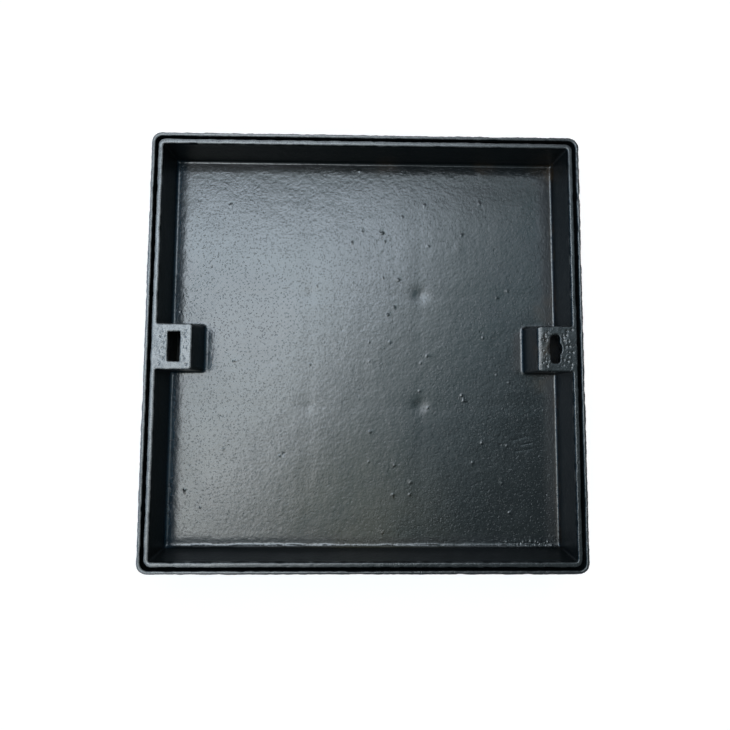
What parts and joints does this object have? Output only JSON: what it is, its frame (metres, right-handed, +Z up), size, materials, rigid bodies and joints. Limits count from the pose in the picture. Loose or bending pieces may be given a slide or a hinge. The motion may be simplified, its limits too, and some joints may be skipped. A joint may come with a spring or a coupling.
{
  "type": "recessed manhole cover and frame",
  "caption": "Square recessed manhole cover tray with two lifting-key blocks, in its cast frame, ready for paving infill.",
  "frame": {"origin": "centre of the frame's underside, where it is bedded", "axes": "+Z up out of the ground; +X towards the key block with the keyhole; +Y along the two key blocks' long sides"},
  "size_m": [0.644, 0.644, 0.07],
  "materials": {
    "painted_cast_iron": "black bitumen paint, semi-gloss, over a sand-cast skin",
    "seal_rubber": "matt black EPDM",
    "pot_plastic": "matt black moulded polypropylene"
  },
  "bodies": {
    "seating": {"frame": "painted_cast_iron", "seat_gasket": "seal_rubber"},
    "cover": {"cover_tray": "painted_cast_iron", "slot_key_pot": "pot_plastic", "keyhole_key_pot": "pot_plastic"}
  },
  "joints": [
    {"name": "cover_lift", "type": "slide", "parent": "seating", "child": "cover", "axis": [0, 0, 1], "range_m": [0, 0.1]}
  ]
}
